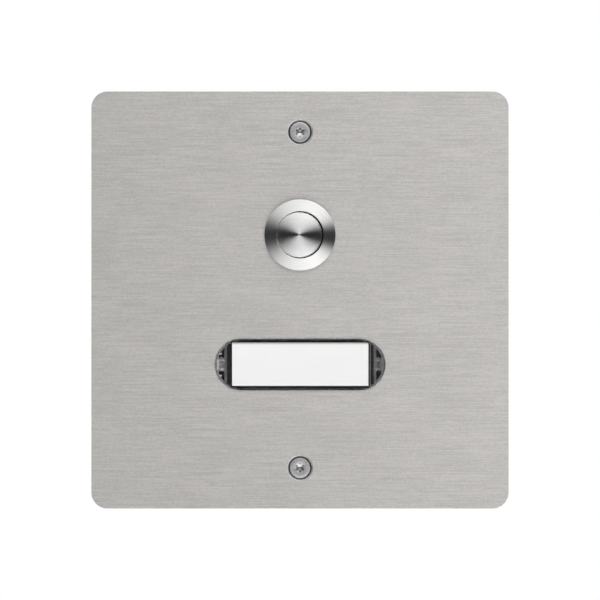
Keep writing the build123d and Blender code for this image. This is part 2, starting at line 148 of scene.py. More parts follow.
# %% A bench
class Bench:
    """A node tree, and the one way to put a node in it."""

    def __init__(self, tree):
        self.tree = tree
        tree.nodes.clear()

    def node(self, kind, settings=None, sockets=None, output=0):
        made = self.tree.nodes.new(kind)
        for name, value in (settings or {}).items():
            setattr(made, name, value)
        for name, value in (sockets or {}).items():
            for end in value if isinstance(value, list) else [value]:
                if isinstance(end, Wire):
                    self.tree.links.new(end.socket, made.inputs[name])
                else:
                    made.inputs[name].default_value = end
        return Wire(self, made.outputs[output]) if made.outputs else made


print("a bench has one method:", Bench.node.__name__)

# %% [markdown]
# ## The light
#
# Round brushing spreads a reflection along the radius, so a face brushed in circles shows
# where the light is, like a compass. The two dark wedges on the button say that the studio
# has one wide softbox above the camera and one below it, with a dark gap between them at
# the camera's own height, that both are brighter on the right, and that the lower one is a
# little brighter than the upper one. Two area lamps would do it, but the world's own nodes
# give a softer edge and far less grain. Behind the object the world is plain white at
# strength 1, and the camera itself always sees that white.

# %% Build the studio in the world
softbox_light = 2.12
softbox_lean = 0.76
softbox_drop = 0.1
gap_light = 0.025
gap_edge = sin(radians(7))
softbox_edge = sin(radians(32))
forward_edge = sin(radians(4))
forward_full = sin(radians(24))


def rise(value, low, high):
    """0 below low, 1 above high, and a smooth rise between them."""
    return value.bench.node(
        "ShaderNodeMapRange",
        {"interpolation_type": "SMOOTHSTEP"},
        {"Value": value, "From Min": low, "From Max": high},
    )


world = bpy.data.worlds.new("studio")
world.use_nodes = True
bpy.context.scene.world = world
studio = Bench(world.node_tree)

towards = studio.node("ShaderNodeTexCoord", output="Generated")
across = studio.node("ShaderNodeSeparateXYZ", sockets={"Vector": towards}, output="X")
height = across.other("Z")
softboxes = rise(abs(height), gap_edge, softbox_edge)
away = across.other("Y")
in_front = rise(0 - away, forward_edge, forward_full)
behind = rise(away, forward_edge, forward_full)
front_light = softboxes * softbox_light * (1 + softbox_lean * across) * (1 - softbox_drop * height)
room_light = gap_light + front_light * in_front + behind * (1 - gap_light)

seen = studio.node("ShaderNodeLightPath", output="Is Camera Ray")
background = studio.node(
    "ShaderNodeBackground",
    sockets={"Color": (1, 1, 1, 1), "Strength": room_light * (1 - seen) + seen},
)
studio.node("ShaderNodeOutputWorld", sockets={"Surface": background})
print("softbox light:", softbox_light, "light in the gap:", gap_light)

# %% [markdown]
# ## The floor
#
# The plate hangs on a wall, so its floor lies some way under it, out of the picture, and
# only keeps a soft shadow for the other views. A large plane would show its edge as a line,
# so this is a disc whose material fades to transparent at the rim.

# %% Lay the floor
floor_level = -160 * MM
floor_radius = 130 * MM
floor_steps = 96

disc = bmesh.new()
bmesh.ops.create_circle(disc, cap_ends=True, segments=floor_steps, radius=floor_radius)
bmesh.ops.translate(disc, verts=disc.verts, vec=(0, 0, floor_level))
floor_mesh = bpy.data.meshes.new("floor")
disc.to_mesh(floor_mesh)
disc.free()
floor = bpy.data.objects.new("floor", floor_mesh)
bpy.context.scene.collection.objects.link(floor)
print("floor in mm:", floor_level / MM)

# %% Paint the floor
floor_solid = 20 * MM
floor_tone = 0.82


def new_finish(name):
    """A new material and the bench for its nodes."""
    material = bpy.data.materials.new(name)
    material.use_nodes = True
    return material, Bench(material.node_tree)


def grey(level, warmth=0.0):
    """A neutral colour, a little warmer or cooler."""
    return (level * (1 + warmth), level, level * (1 - warmth), 1)


def off_axis(across, up):
    """How far a point is from an axis, from its way off it in two directions."""
    return (across * across + up * up) ** 0.5


pale_floor, bench = new_finish("pale floor")
spot = bench.node("ShaderNodeTexCoord", output="Object")
east = bench.node("ShaderNodeSeparateXYZ", sockets={"Vector": spot}, output="X")
fading = rise(off_axis(east, east.other("Y")), floor_solid, floor_radius)
paint = bench.node("ShaderNodeBsdfDiffuse", sockets={"Color": grey(floor_tone)})
nothing = bench.node("ShaderNodeBsdfTransparent")
faded = bench.node("ShaderNodeMixShader", sockets={0: fading, 1: paint, 2: nothing})
bench.node("ShaderNodeOutputMaterial", sockets={"Surface": faded})
floor_mesh.materials.append(pale_floor)
print(pale_floor.name + ": tone", floor_tone)

# %% [markdown]
# ## Helpers for the finishes
#
# Most finishes here are a pattern that is long one way and fine the other: brush strokes,
# lathe rings, the grain of a mould. Noise does all of them once its coordinates are
# stretched. The coordinates are the object's own, in metres, so a stretch of 1000 makes a
# pattern about a millimetre long, and it stays on the piece when the piece moves. Most of
# the noise lies near its middle, so a helper spreads it out before it drives a tone.

# %% Noise and tone
noise_low, noise_high = 0.3, 0.7


def grain(bench, place, stretch, detail=2.0, seed=0.0):
    """Noise with features of about 1 / stretch metres along each axis."""
    stretched = bench.node(
        "ShaderNodeMapping",
        sockets={"Vector": place, "Location": (seed, seed, seed), "Scale": stretch},
    )
    return bench.node(
        "ShaderNodeTexNoise", sockets={"Vector": stretched, "Scale": 1.0, "Detail": detail}
    )


def full_range(noise):
    """Noise spread out to run from 0 to 1."""
    return rise(noise, noise_low, noise_high)


def blend(bench, share, first, second):
    """A colour between two others."""
    sockets = {0: share, 6: first, 7: second}
    return bench.node("ShaderNodeMix", {"data_type": "RGBA"}, sockets, output=2)


print("noise from", noise_low, "to", noise_high, "is spread out to run from 0 to 1")

# %% Relief, the last shader and a way to dress pieces
def relief(bench, height, strength, depth, under=None):
    """A surface that follows a height, for the Normal socket, perhaps on top of another relief."""
    sockets = {"Height": height, "Strength": strength, "Distance": depth}
    if under:
        sockets["Normal"] = under
    return bench.node("ShaderNodeBump", sockets=sockets)


def surface(bench, sockets):
    """The shader that every solid finish ends in."""
    shader = bench.node("ShaderNodeBsdfPrincipled", sockets=sockets)
    bench.node("ShaderNodeOutputMaterial", sockets={"Surface": shader})


def dress(material, *names):
    """Gives a finish to CAD pieces, whose own meshes stay as they are."""
    for name in names:
        for slot in nodes[name].material_slots:
            slot.material = material
    print(material.name + ":", ", ".join(names))


print("pieces to dress:", len(nodes))

# %% [markdown]
# ## Brushed sheet
#
# The plate is stainless sheet, brushed from side to side on a belt. Its scratches are a
# fraction of a millimetre wide and of every length: long strokes, short hairlines and the
# fine speckle of the belt's grit. They could be displaced, but they are finer than a pixel,
# so they do two things instead: one stretched noise for each length tints them, and the
# shader's anisotropy spreads reflections across them. The spread runs up and down, so the
# dark gap in the light greys the plate's middle height.

# %% Brush the plate
stroke_share, hairline_share, speckle_share = 0.39, 0.25, 0.36
cloud_share = 0.1
shade_low, shade_high = 0.36, 0.64
face_dull, face_bright = grey(0.41, 0.03), grey(0.527, 0.03)

brushed_sheet, bench = new_finish("brushed stainless sheet")
place = bench.node("ShaderNodeTexCoord", output="Object")
strokes = grain(bench, place, (55, 55, 4800), detail=1.0, seed=7.0)
hairlines = grain(bench, place, (280, 280, 5200), detail=1.0)
speckle = grain(bench, place, (2200, 2200, 4200), detail=1.0, seed=11.0)
clouds = grain(bench, place, (60, 60, 110), detail=2.0, seed=3.0)
scratches = strokes * stroke_share + hairlines * hairline_share + speckle * speckle_share
shade = rise(scratches * (1 - cloud_share) + clouds * cloud_share, shade_low, shade_high)
face = blend(bench, shade, face_dull, face_bright)
print("shares of the scratches:", stroke_share, hairline_share, speckle_share)

# %% [markdown]
# Only the front is brushed. The back and the edges keep the dull skin of the rolling mill,
# and the two countersinks are painted dark: a painted shade, standing in for the shadow in
# the gap round each screw head. Three materials would need the faces sorted, so points
# behind the face get one of those two tones instead. The belt also rolls the rim of each
# countersink over a little, which a second relief draws as a thin bright edge.

# %% Leave the back bare and shade the countersinks
sheet_spread = 0.5
quarter_turn = 0.25
mill_dull, mill_bright = grey(0.4, 0.01), grey(0.45, 0.01)
countersink_shade_tone = grey(0.16)
sheet_roughness, scratch_roughness = 0.54, 0.06
scratch_relief, scratch_depth = 0.12, 0.02 * MM
brush_end, mill_start = 0.02 * MM, 0.07 * MM
back_start, back_full = -0.1 * MM, -0.03 * MM
screw_pitch = 96.6 * MM
countersink_shade_radius, countersink_shade_fade = 4.0 * MM, 0.2 * MM
countersink_radius = 3.45 * MM
rim_width = 0.35 * MM
rim_drop = 0.14 * MM


def from_screw_axis(inward):
    """The way from the nearer fixing screw's axis, from the wire of a split place."""
    return off_axis(inward.other("X"), abs(inward.other("Z")) - screw_pitch / 2)


mill_skin = blend(bench, shade, mill_dull, mill_bright)
inward = bench.node("ShaderNodeSeparateXYZ", sockets={"Vector": place}, output="Y")
unbrushed = rise(inward - plate_front, brush_end, mill_start)
from_screw = from_screw_axis(inward)
# The dark tone of the countersinks is painted shade, for the shadow round each screw head.
countersink_shade = 1 - rise(from_screw, countersink_shade_radius, countersink_shade_radius + countersink_shade_fade)
rim = rise(from_screw, countersink_radius, countersink_radius + rim_width).most(unbrushed)
before_back = 1 - rise(inward, back_start, back_full)
mill_skin_and_shade = blend(bench, countersink_shade * before_back, mill_skin, countersink_shade_tone)
scratched = relief(bench, scratches, scratch_relief, scratch_depth)
surface(bench, {
    "Base Color": blend(bench, unbrushed, face, mill_skin_and_shade),
    "Metallic": 1.0,
    "Roughness": sheet_roughness + scratch_roughness * scratches,
    "Anisotropic": sheet_spread,
    "Anisotropic Rotation": quarter_turn,
    "Normal": relief(bench, rim, 1.0, rim_drop, under=scratched),
})
dress(brushed_sheet, "front_plate")

# %% [markdown]
# ## Turned steel
#
# The bezel and the cap are turned on a lathe and finished with the brush held still, so
# their scratches are circles about the button's axis. The rings are noise that changes fast
# with the radius and slowly round the axis. The tangent runs round the axis too, and a
# quarter turn makes the spread of the reflections point along the radius. That spread is
# what draws the bright fans and the dark wedges. The bezel's shank is threaded, and the root
# of its thread is painted darker than its crest: a painted shade, standing in for the shade
# in the thread's groove. A packed mesh keeps to its true radius only within a few
# hundredths of a millimetre, so tests of a radius have some slack.

# %% Rings and the shade of a thread
slack = 0.02 * MM
arc_length = 2.5
root_shade_edge = 0.1 * MM
thread_fade = 0.5 * MM


def lathe_rings(bench, axis, pace):
    """Fine arcs about an axis square to the plate, the way from that axis and the way in."""
    place = bench.node("ShaderNodeTexCoord", output="Object")
    from_axis = bench.node(
        "ShaderNodeVectorMath", {"operation": "SUBTRACT"}, {0: place, 1: (axis.x, 0, axis.z)}
    )
    in_plane = bench.node(
        "ShaderNodeVectorMath", {"operation": "MULTIPLY"}, {0: from_axis, 1: (1, 0, 1)}
    )
    radius = bench.node(
        "ShaderNodeVectorMath", {"operation": "LENGTH"}, {0: in_plane}, output="Value"
    )
    facing = bench.node("ShaderNodeVectorMath", {"operation": "NORMALIZE"}, {0: in_plane})
    around = bench.node("ShaderNodeSeparateXYZ", sockets={"Vector": facing}, output="X")
    arc = bench.node("ShaderNodeCombineXYZ", sockets={
        "X": around * arc_length, "Y": radius * pace, "Z": around.other("Z") * arc_length,
    })
    rings = bench.node("ShaderNodeTexNoise", sockets={"Vector": arc, "Scale": 1.0, "Detail": 2.0})
    inward = bench.node("ShaderNodeSeparateXYZ", sockets={"Vector": place}, output="Y")
    return rings, radius, inward


# The mask of a painted shade in the root of a thread.
def thread_shade(radius, inward, root, crest, start):
    """1 in the root of a thread that starts some way in, and 0 on its crest and off the thread."""
    in_root = rise(radius, root - root_shade_edge, root - slack) - rise(radius, root, crest)
    return in_root * rise(inward, start, start + thread_fade)


print("slack in mm:", round(slack / MM, 3))

# %% Turn the cap and the bezel
turned_spread = 1.0
turned_warmth = 0.006
ring_pace = 7000
ring_contrast = 0.035
ring_roughness = 0.03
ring_relief, ring_depth = 0.05, 0.01 * MM
cap_tone, cap_polish = 0.73, 0.27
bezel_tone, bezel_polish = 0.72, 0.35
root_shade_tone = grey(0.1)
housing_thread = 8.0 * MM
housing_root = 7.39 * MM
button_axis = (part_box("button_housing")[0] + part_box("button_housing")[1]) / 2
cap_axis = (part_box("push_cap")[0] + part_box("push_cap")[1]) / 2


def turned_steel(name, axis, level, polish, root=0.0, crest=slack):
    """Steel brushed in circles, with a thread between two radii where it has one."""
    material, bench = new_finish(name)
    rings, radius, inward = lathe_rings(bench, axis, ring_pace)
    dull = grey(level - ring_contrast, turned_warmth)
    bright = grey(level + ring_contrast, turned_warmth)
    tone = blend(bench, full_range(rings), dull, bright)
    root_shade = thread_shade(radius, inward, root, crest, plate_front)
    surface(bench, {
        "Base Color": blend(bench, root_shade, tone, root_shade_tone),
        "Metallic": 1.0,
        "Roughness": polish + ring_roughness * rings,
        "Anisotropic": turned_spread,
        "Anisotropic Rotation": quarter_turn,
        "Tangent": bench.node("ShaderNodeTangent", {"direction_type": "RADIAL", "axis": "Y"}),
        "Normal": relief(bench, rings, ring_relief, ring_depth),
    })
    return material


turned_cap = turned_steel("turned steel cap", cap_axis, cap_tone, cap_polish)
turned_bezel = turned_steel(
    "turned steel bezel", button_axis, bezel_tone, bezel_polish, housing_root, housing_thread
)
dress(turned_cap, "push_cap")

# %% [markdown]
# ## Screw steel
#
# The fixing screws are plain stainless ones as they come from the heading press, duller and
# darker than the plate. Their finish has no direction: a fine noise roughens it, and a
# larger one lets some places shine more than others. The punch leaves the drive smoother
# than the head, so the finish is glossier below the head's face. The threads are rolled,
# which leaves them smooth, and their root is painted darker: a painted shade in the groove.

# %% Make the screw steel
screw_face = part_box("fixing_screws")[0].y
screw_thread = 1.5 * MM
screw_root = 1.2 * MM
rolled_start = 0.0
noise_middle = 0.5
punch_start, punch_full = 0.1 * MM, 0.2 * MM
screw_dull, screw_bright, screw_root_shade_tone = grey(0.43), grey(0.58), grey(0.28)
screw_roughness, wear, punch_polish = 0.36, 0.16, 0.18
press_relief, press_depth = 0.15, 0.02 * MM

screw_steel, bench = new_finish("plain screw steel")
place = bench.node("ShaderNodeTexCoord", output="Object")
inward = bench.node("ShaderNodeSeparateXYZ", sockets={"Vector": place}, output="Y")
punched = rise(inward - screw_face, punch_start, punch_full)
rolled = rise(inward, rolled_start, rolled_start + thread_fade)
pressed = grain(bench, place, (5200, 5200, 5200), detail=3.0)
pressed = pressed * (1 - rolled) + noise_middle * rolled
worn = grain(bench, place, (900, 900, 900), detail=1.0, seed=5.0)
tone = blend(bench, full_range(pressed), screw_dull, screw_bright)
# The screws' thread roots get the same painted shade.
root_shade = thread_shade(from_screw_axis(inward), inward, screw_root, screw_thread, rolled_start)
surface(bench, {
    "Base Color": blend(bench, root_shade, tone, screw_root_shade_tone),
    "Metallic": 1.0,
    "Roughness": screw_roughness + wear * worn - punch_polish * punched,
    "Normal": relief(bench, pressed, press_relief, press_depth),
})
print(screw_steel.name + ": for the threaded screws, root in mm:", round(screw_root / MM, 2))

# %% [markdown]
# ## Plated and drawn steel, and brass
#
# The nut, the toothed washer, the clamp plates and the terminal screws are nickel-plated:
# smooth and slightly yellow, with cloudy patches where the plating is thin. The clip and
# the spring are bare spring steel, darker and a little blue from tempering. The contacts
# are brass, which clouds where it tarnishes. Three separate trees could differ more, but
# one function with two tones, a polish and a pace of the clouds is enough for all three.

# %% Plate the nut, temper the clip and turn the brass
tooth_pace = 6000
tooth_relief, tooth_depth = 0.08, 0.01 * MM
cloud_roughness = 0.16


def smooth_metal(name, dull, bright, polish, cloud_pace):
    """A smooth metal with cloudy patches and a fine tooth."""
    material, bench = new_finish(name)
    place = bench.node("ShaderNodeTexCoord", output="Object")
    patches = grain(bench, place, (cloud_pace, cloud_pace, cloud_pace), detail=3.0)
    tooth = grain(bench, place, (tooth_pace, tooth_pace, tooth_pace), detail=1.0, seed=2.0)
    surface(bench, {
        "Base Color": blend(bench, full_range(patches), dull, bright),
        "Metallic": 1.0,
        "Roughness": polish + cloud_roughness * patches,
        "Normal": relief(bench, tooth, tooth_relief, tooth_depth),
    })
    return material


nickel = smooth_metal("nickel plating", (0.6, 0.58, 0.53, 1), (0.74, 0.72, 0.67, 1), 0.16, 420)
spring_steel = smooth_metal("spring steel", (0.4, 0.41, 0.43, 1), (0.56, 0.56, 0.58, 1), 0.2, 700)
brass = smooth_metal("turned brass", (0.62, 0.43, 0.17, 1), (0.83, 0.63, 0.3, 1), 0.18, 500)
dress(nickel, "lock_nut", "lock_washer", "clamp_plates", "terminal_screws")
dress(spring_steel, "retaining_clip")
dress(brass, "contact_bridge", "terminal_post_left", "terminal_post_right")

# %% [markdown]
# ## Mouldings and rubber
#
# The card holder and the contact block are black mouldings with the fine grain of a spark-
# eroded mould. The plunger is a white moulding, and the two seals are matt rubber. One
# function makes all three finishes: a grain for the relief, and a slower noise for uneven
# gloss.

# %% Mould the plastics and the rubber
flow_pace = 160
flow_roughness = 0.12
pimple_depth = 0.03 * MM


def moulding(name, dark, light, gloss, grain_pace, grain_relief, shine=0.5):
    """A moulded surface: fine relief, uneven gloss and a slight change of tone."""
    material, bench = new_finish(name)
    place = bench.node("ShaderNodeTexCoord", output="Object")
    pimples = grain(bench, place, (grain_pace, grain_pace, grain_pace), detail=2.0)
    flow = grain(bench, place, (flow_pace, flow_pace, flow_pace), detail=2.0, seed=4.0)
    surface(bench, {
        "Base Color": blend(bench, full_range(flow), dark, light),
        "Roughness": gloss + flow_roughness * flow,
        "Specular IOR Level": shine,
        "Normal": relief(bench, pimples, grain_relief, pimple_depth),
    })
    return material


black_plastic = moulding("black moulding", grey(0.006), grey(0.01), 0.42, 4200, 0.25, shine=0.22)
white_plastic = moulding("white moulding", grey(0.76, 0.02), grey(0.82, 0.02), 0.3, 3000, 0.05)
rubber = moulding("seal rubber", grey(0.018), grey(0.03), 0.62, 6500, 0.4)
dress(black_plastic, "nameplate_holder", "switch_base")
dress(white_plastic, "plunger")
dress(rubber, "flange_seal", "cap_seal")

# %% [markdown]
# ## The card
#
# The name card is a blank strip of uncoated white board. Its tone hardly changes, but bare
# board is never one flat white: fibres run along it, and they also break up its shine. Along
# its top edge the tone falls: a painted shadow, standing in for the shade that the window's
# upper wall throws on the card.

# %% Cut the card
card_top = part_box("name_card")[1].z
top_shadow_width = 0.8 * MM
board_dull, board_bright, top_shadow_tone = grey(0.92, 0.002), grey(0.95, 0.002), grey(0.38)
card_roughness, fibre_roughness = 0.75, 0.15
card_shine = 0.1
fibre_relief, fibre_depth = 0.1, 0.02 * MM

white_card, bench = new_finish("uncoated card")
place = bench.node("ShaderNodeTexCoord", output="Object")
fibres = grain(bench, place, (700, 2400, 2400), detail=4.0)
board = blend(bench, full_range(fibres), board_dull, board_bright)
up = bench.node("ShaderNodeSeparateXYZ", sockets={"Vector": place}, output="Z")
# Painted shadow along the card's top edge, for the shade of the window's upper wall.
top_shadow = rise(up, card_top - top_shadow_width, card_top)
surface(bench, {
    "Base Color": blend(bench, top_shadow, board, top_shadow_tone),
    "Roughness": card_roughness + fibre_roughness * fibres,
    "Specular IOR Level": card_shine,
    "Normal": relief(bench, fibres, fibre_relief, fibre_depth),
})
dress(white_card, "name_card")

# %% [markdown]
# ## The clear window
#
# The window is moulded in clear polycarbonate, so its shader is glass with that plastic's
# refractive index. Most of what shows in it, the bright lip and the dark bays, is refraction
# in the real shapes of the moulding. The mould is polished only where people look through
# it: the walls and the latches behind the skin come out matt, and matt glass looks grey. A
# second material on those faces would do, but depth alone tells them apart. So the finish is
# rough wherever a point lies behind the skin, with a little white in it that comes and goes
# in patches, and with more of it on the feet of the walls, which are sawn.

# %% Cloud the window's walls
skin_back = -1.5 * MM
skin_end, wall_start = 0.02 * MM, 0.06 * MM
foot_depth, foot_rise = 1.2 * MM, 0.15 * MM
foot_end, foot_gone = foot_depth + 0.25 * MM, foot_depth + 0.3 * MM
patch_low, patch_high = 0.35, 0.65
haze = 0.09
even_haze, patch_haze, foot_haze = 0.4, 1.2, 0.2

clear_plastic, bench = new_finish("clear polycarbonate")
place = bench.node("ShaderNodeTexCoord", output="Object")
inward = bench.node("ShaderNodeSeparateXYZ", sockets={"Vector": place}, output="Y")
depth = inward - skin_back
behind_skin = rise(depth, skin_end, wall_start)
at_foot = rise(depth, foot_depth, foot_depth + foot_rise) - rise(depth, foot_end, foot_gone)
patches = grain(bench, place, (1500, 1500, 1500), detail=2.0, seed=9.0)
patches = rise(patches, patch_low, patch_high)
haze_and_highlights = haze * behind_skin * (even_haze + patch_haze * patches + foot_haze * at_foot)
print("the skin ends in mm at:", round(skin_back / MM, 2))

# %% [markdown]
# The walls round the two ends and the latch legs are deep enough to look cloudy from the
# front, so the skin over them is hazed. The left latch gets more of that haze than the right
# one, with a white bar, two white flecks and bright lines along the legs' top and bottom
# edges; the bar and the lines are weaker on the right, and the flecks are on the left only.
# All of this is painted highlight, standing in for light that falls more from the right.
# The marks could be small meshes, but they lie inside the plastic and have no thickness of
# their own. Rectangles with soft edges, measured from the window's middle, are enough.

# %% Haze the window's two ends
edge_blur = 0.15 * MM
window_low, window_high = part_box("nameplate_window")
end_radius = (window_high.z - window_low.z) / 2
wall_inside, wall_outside = end_radius - 0.8 * MM, end_radius - 0.5 * MM
wall_haze, wall_fade = 0.11, 2 * MM
# Shares and places of the haze and of the painted highlights: the legs' edge lines, the bar and
# the flecks.
leg_haze, right_leg_haze, even_leg_haze = 0.15, 0.05, 0.35
edge_glint_share, right_edge_glint_loss = 0.24, 0.3
glint_bar_share, right_glint_bar_loss = 0.31, 0.8
glint_fleck_share = 0.24
leg_place, leg_size = (22.6 * MM, 0), (1.0 * MM, 3.8 * MM)
edge_glint_place, edge_glint_size = (22.3 * MM, 1.25 * MM), (1.2 * MM, 0.6 * MM)
glint_bar_place, glint_bar_size = (23.5 * MM, 0), (0.75 * MM, 3.2 * MM)
glint_fleck_place, glint_fleck_size = (-22.9 * MM, 3.15 * MM), (1.0 * MM, 0.6 * MM)


def soft_band(way, middle, width):
    """1 in a band and 0 outside it, with soft edges."""
    return 1 - rise(abs(way - middle), width / 2 - edge_blur, width / 2)


def soft_box(across, up, middle, size):
    """1 in a rectangle and 0 outside it, with soft edges."""
    return soft_band(across, middle[0], size[0]) * soft_band(up, middle[1], size[1])


aside = inward.other("X")
up = inward.other("Z") - (window_low.z + window_high.z) / 2
sideways, off_middle = abs(aside), abs(up)
past_straight = (sideways - (window_high.x - end_radius)).most(0.0)
from_spine = off_axis(past_straight, up)
over_wall = rise(from_spine, wall_inside, wall_inside + edge_blur)
over_wall = over_wall - rise(from_spine, wall_outside, wall_outside + edge_blur)
over_wall = over_wall * rise(past_straight, 0.0, wall_fade)
# on_right weakens the haze and the painted highlights over the right latch: painted light, as the
# light falls more from the right.
on_right = rise(aside, -1 * MM, 1 * MM)
over_leg = soft_box(sideways, up, leg_place, leg_size)
edge_glints = soft_box(sideways, off_middle, edge_glint_place, edge_glint_size)
glint_bar = soft_box(sideways, up, glint_bar_place, glint_bar_size)
glint_flecks = soft_box(aside, off_middle, glint_fleck_place, glint_fleck_size)
on_leg = over_leg * (leg_haze - (leg_haze - right_leg_haze) * on_right)
on_leg = on_leg * (even_leg_haze + patch_haze * patches)
on_leg = on_leg + edge_glints * edge_glint_share * (1 - right_edge_glint_loss * on_right)
on_leg = on_leg + glint_bar * glint_bar_share * (1 - right_glint_bar_loss * on_right)
haze_and_highlights = haze_and_highlights + (1 - behind_skin) * (over_wall * wall_haze + on_leg + glint_flecks * glint_fleck_share)
print("radius of the window's ends in mm:", round(end_radius / MM, 2))

# %% [markdown]
# Path tracing finds no lamp through glass, and the card would stay dark. Light on its way
# to the card therefore passes straight through a plain transparent shader instead. The skin
# over the card mirrors little, so most of it is that plain shader for the camera too.

# %% Mould the window
polycarbonate = 1.58
glass_dull, glass_bright = (0.975, 0.98, 0.98, 1), (0.99, 0.995, 0.995, 1)
polished, flow_blur, matt = 0.02, 0.03, 0.3
flow_relief, flow_depth = 0.015, 0.02 * MM
frost_tone = 0.8
see_through = 0.95
card_reach, card_rise = 20.0 * MM, 6.8 * MM
glare_cut = 0.88

flow_lines = grain(bench, place, (120, 400, 400), detail=2.0)
glass = bench.node("ShaderNodeBsdfPrincipled", sockets={
    "Base Color": blend(bench, flow_lines, glass_dull, glass_bright),
    "Roughness": polished + flow_blur * flow_lines + matt * behind_skin,
    "IOR": polycarbonate,
    "Transmission Weight": 1.0,
    "Normal": relief(bench, flow_lines, flow_relief, flow_depth),
})
path = bench.node("ShaderNodeLightPath", output="Is Shadow Ray")
over_card = soft_box(aside, up, (0, 0), (2 * card_reach, 2 * card_rise))
unmirrored = over_card * glare_cut * path.other("Is Camera Ray")
passing = path.most(path.other("Is Diffuse Ray")).most(unmirrored)
frost = bench.node("ShaderNodeBsdfDiffuse", sockets={"Color": grey(frost_tone)})
hazed = bench.node("ShaderNodeMixShader", sockets={0: haze_and_highlights, 1: glass, 2: frost})
straight = bench.node("ShaderNodeBsdfTransparent", sockets={"Color": grey(see_through)})
clear = bench.node("ShaderNodeMixShader", sockets={0: passing, 1: hazed, 2: straight})
bench.node("ShaderNodeOutputMaterial", sockets={"Surface": clear})
dress(clear_plastic, "nameplate_window")

# %% [markdown]
# ## Threads
#
# In the CAD model a thread is a plain cylinder at its outer diameter. A real one is a
# spiral ridge on a thinner core, and it shows on the housing and on the fixing screws from
# behind. A Screw modifier can make such a ridge, but a node tree can take the core as it
# is, sweep the ridge along a spiral once, and set it on every screw of the piece. The tree
# has an input for each size, so one tree cuts both threads. The ridge shrinks to almost
# nothing in its first and last turn, as a real thread runs out.

# %% Start and end a tree
FLOAT, INTEGER, VECTOR = "NodeSocketFloat", "NodeSocketInt", "NodeSocketVector"
MATERIAL, GEOMETRY = "NodeSocketMaterial", "NodeSocketGeometry"


def new_tree(name, inputs):
    """A node tree for a modifier, with named inputs."""
    tree = bpy.data.node_groups.new(name, "GeometryNodeTree")
    tree.is_modifier = True
    tree.interface.new_socket("Geometry", in_out="INPUT", socket_type=GEOMETRY)
    for label, kind in inputs.items():
        tree.interface.new_socket(label, in_out="INPUT", socket_type=kind)
    tree.interface.new_socket("Geometry", in_out="OUTPUT", socket_type=GEOMETRY)
    bench = Bench(tree)
    return tree, bench, bench.node("NodeGroupInput", output="Geometry")


def give_out(bench, shape, material):
    """The end of a tree: plain geometry in its material."""
    plain = bench.node("GeometryNodeRealizeInstances", sockets={"Geometry": shape})
    sockets = {"Geometry": plain, "Material": material}
    dressed = bench.node("GeometryNodeSetMaterial", sockets=sockets)
    bench.node("NodeGroupOutput", sockets={"Geometry": dressed})


print("kinds of input:", FLOAT, INTEGER, VECTOR, MATERIAL)

# %% Build the thread tree
crest_share, root_share = 0.125, 0.83
least_ridge = 0.05

thread_tree, bench, core = new_tree("thread", {
    "Core Radius": FLOAT, "Ridge": FLOAT, "Sink": FLOAT, "Pitch": FLOAT, "Length": FLOAT,
    "Steps": INTEGER, "Start": VECTOR, "Spacing": VECTOR, "Count": INTEGER, "Material": MATERIAL,
})
ridge, sink = core.other("Ridge"), core.other("Sink")
pitch, length = core.other("Pitch"), core.other("Length")
turns = length / pitch
spiral = bench.node("GeometryNodeCurveSpiral", sockets={
    "Resolution": core.other("Steps"), "Rotations": turns, "Height": length, "Reverse": True,
    "Start Radius": core.other("Core Radius"), "End Radius": core.other("Core Radius"),
})
upright = bench.node("GeometryNodeSetCurveNormal", {"mode": "Z_UP"}, {"Curve": spiral})
along = bench.node("GeometryNodeSplineParameter", output="Factor")
run_out = (along * turns).least((1 - along) * turns).least(1.0).most(least_ridge)
profile = bench.node("GeometryNodeCurvePrimitiveQuadrilateral", {"mode": "TRAPEZOID"}, {
    "Height": ridge + sink, "Top Width": pitch * crest_share,
    "Bottom Width": pitch * root_share + sink, "Offset": 0.0,
})
outward = bench.node("ShaderNodeCombineXYZ", sockets={"X": (ridge - sink) / 2})
section = bench.node("GeometryNodeTransform", sockets={
    "Geometry": profile, "Translation": outward, "Rotation": (0, 0, -pi / 2),
})
swept = bench.node("GeometryNodeCurveToMesh", sockets={
    "Curve": upright, "Profile Curve": section, "Scale": run_out, "Fill Caps": True,
})
into_wall = bench.node("GeometryNodeTransform", sockets={
    "Geometry": swept, "Rotation": (-pi / 2, 0, 0),
})
screws = bench.node("GeometryNodeMeshLine", sockets={
    "Count": core.other("Count"), "Start Location": core.other("Start"),
    "Offset": core.other("Spacing"),
})
ridges = bench.node("GeometryNodeInstanceOnPoints", sockets={
    "Points": screws, "Instance": into_wall,
})
joined = bench.node("GeometryNodeJoinGeometry", sockets={"Geometry": [core, ridges]})
give_out(bench, joined, core.other("Material"))
thread_sockets = thread_tree.interface.items_tree
print("thread inputs:", [item.name for item in thread_sockets if item.in_out == "INPUT"])

# %% [markdown]
# The core is a copy of the CAD piece with its cylinder drawn in to the root of the thread.
# CAD meshes are loose triangles, so the copy is merged first. Then the modifier runs once,
# and its result replaces the mesh, because what is kept of the object is plain meshes.

# %% Draw in a shank and run a tree
sharp_angle = radians(32)
weld = 0.001 * MM


def add_piece(name, mesh):
    """A new object in the scene, at the origin."""
    piece = bpy.data.objects.new(name, mesh)
    bpy.context.scene.collection.objects.link(piece)
    return piece


def grow(piece, tree, sizes):
    """Runs a tree on a piece and keeps the result as its plain mesh."""
    modifier = piece.modifiers.new(tree.name, "NODES")
    modifier.node_group = tree
    for item in tree.interface.items_tree:
        if item.in_out == "INPUT" and item.name in sizes:
            modifier[item.identifier] = sizes[item.name]
    depsgraph = bpy.context.evaluated_depsgraph_get()
    made = bpy.data.meshes.new_from_object(piece.evaluated_get(depsgraph))
    piece.modifiers.remove(modifier)
    piece.data = made
    made.shade_smooth()
    made.set_sharp_from_angle(angle=sharp_angle)
    print(piece.name + ":", len(made.polygons), "faces")


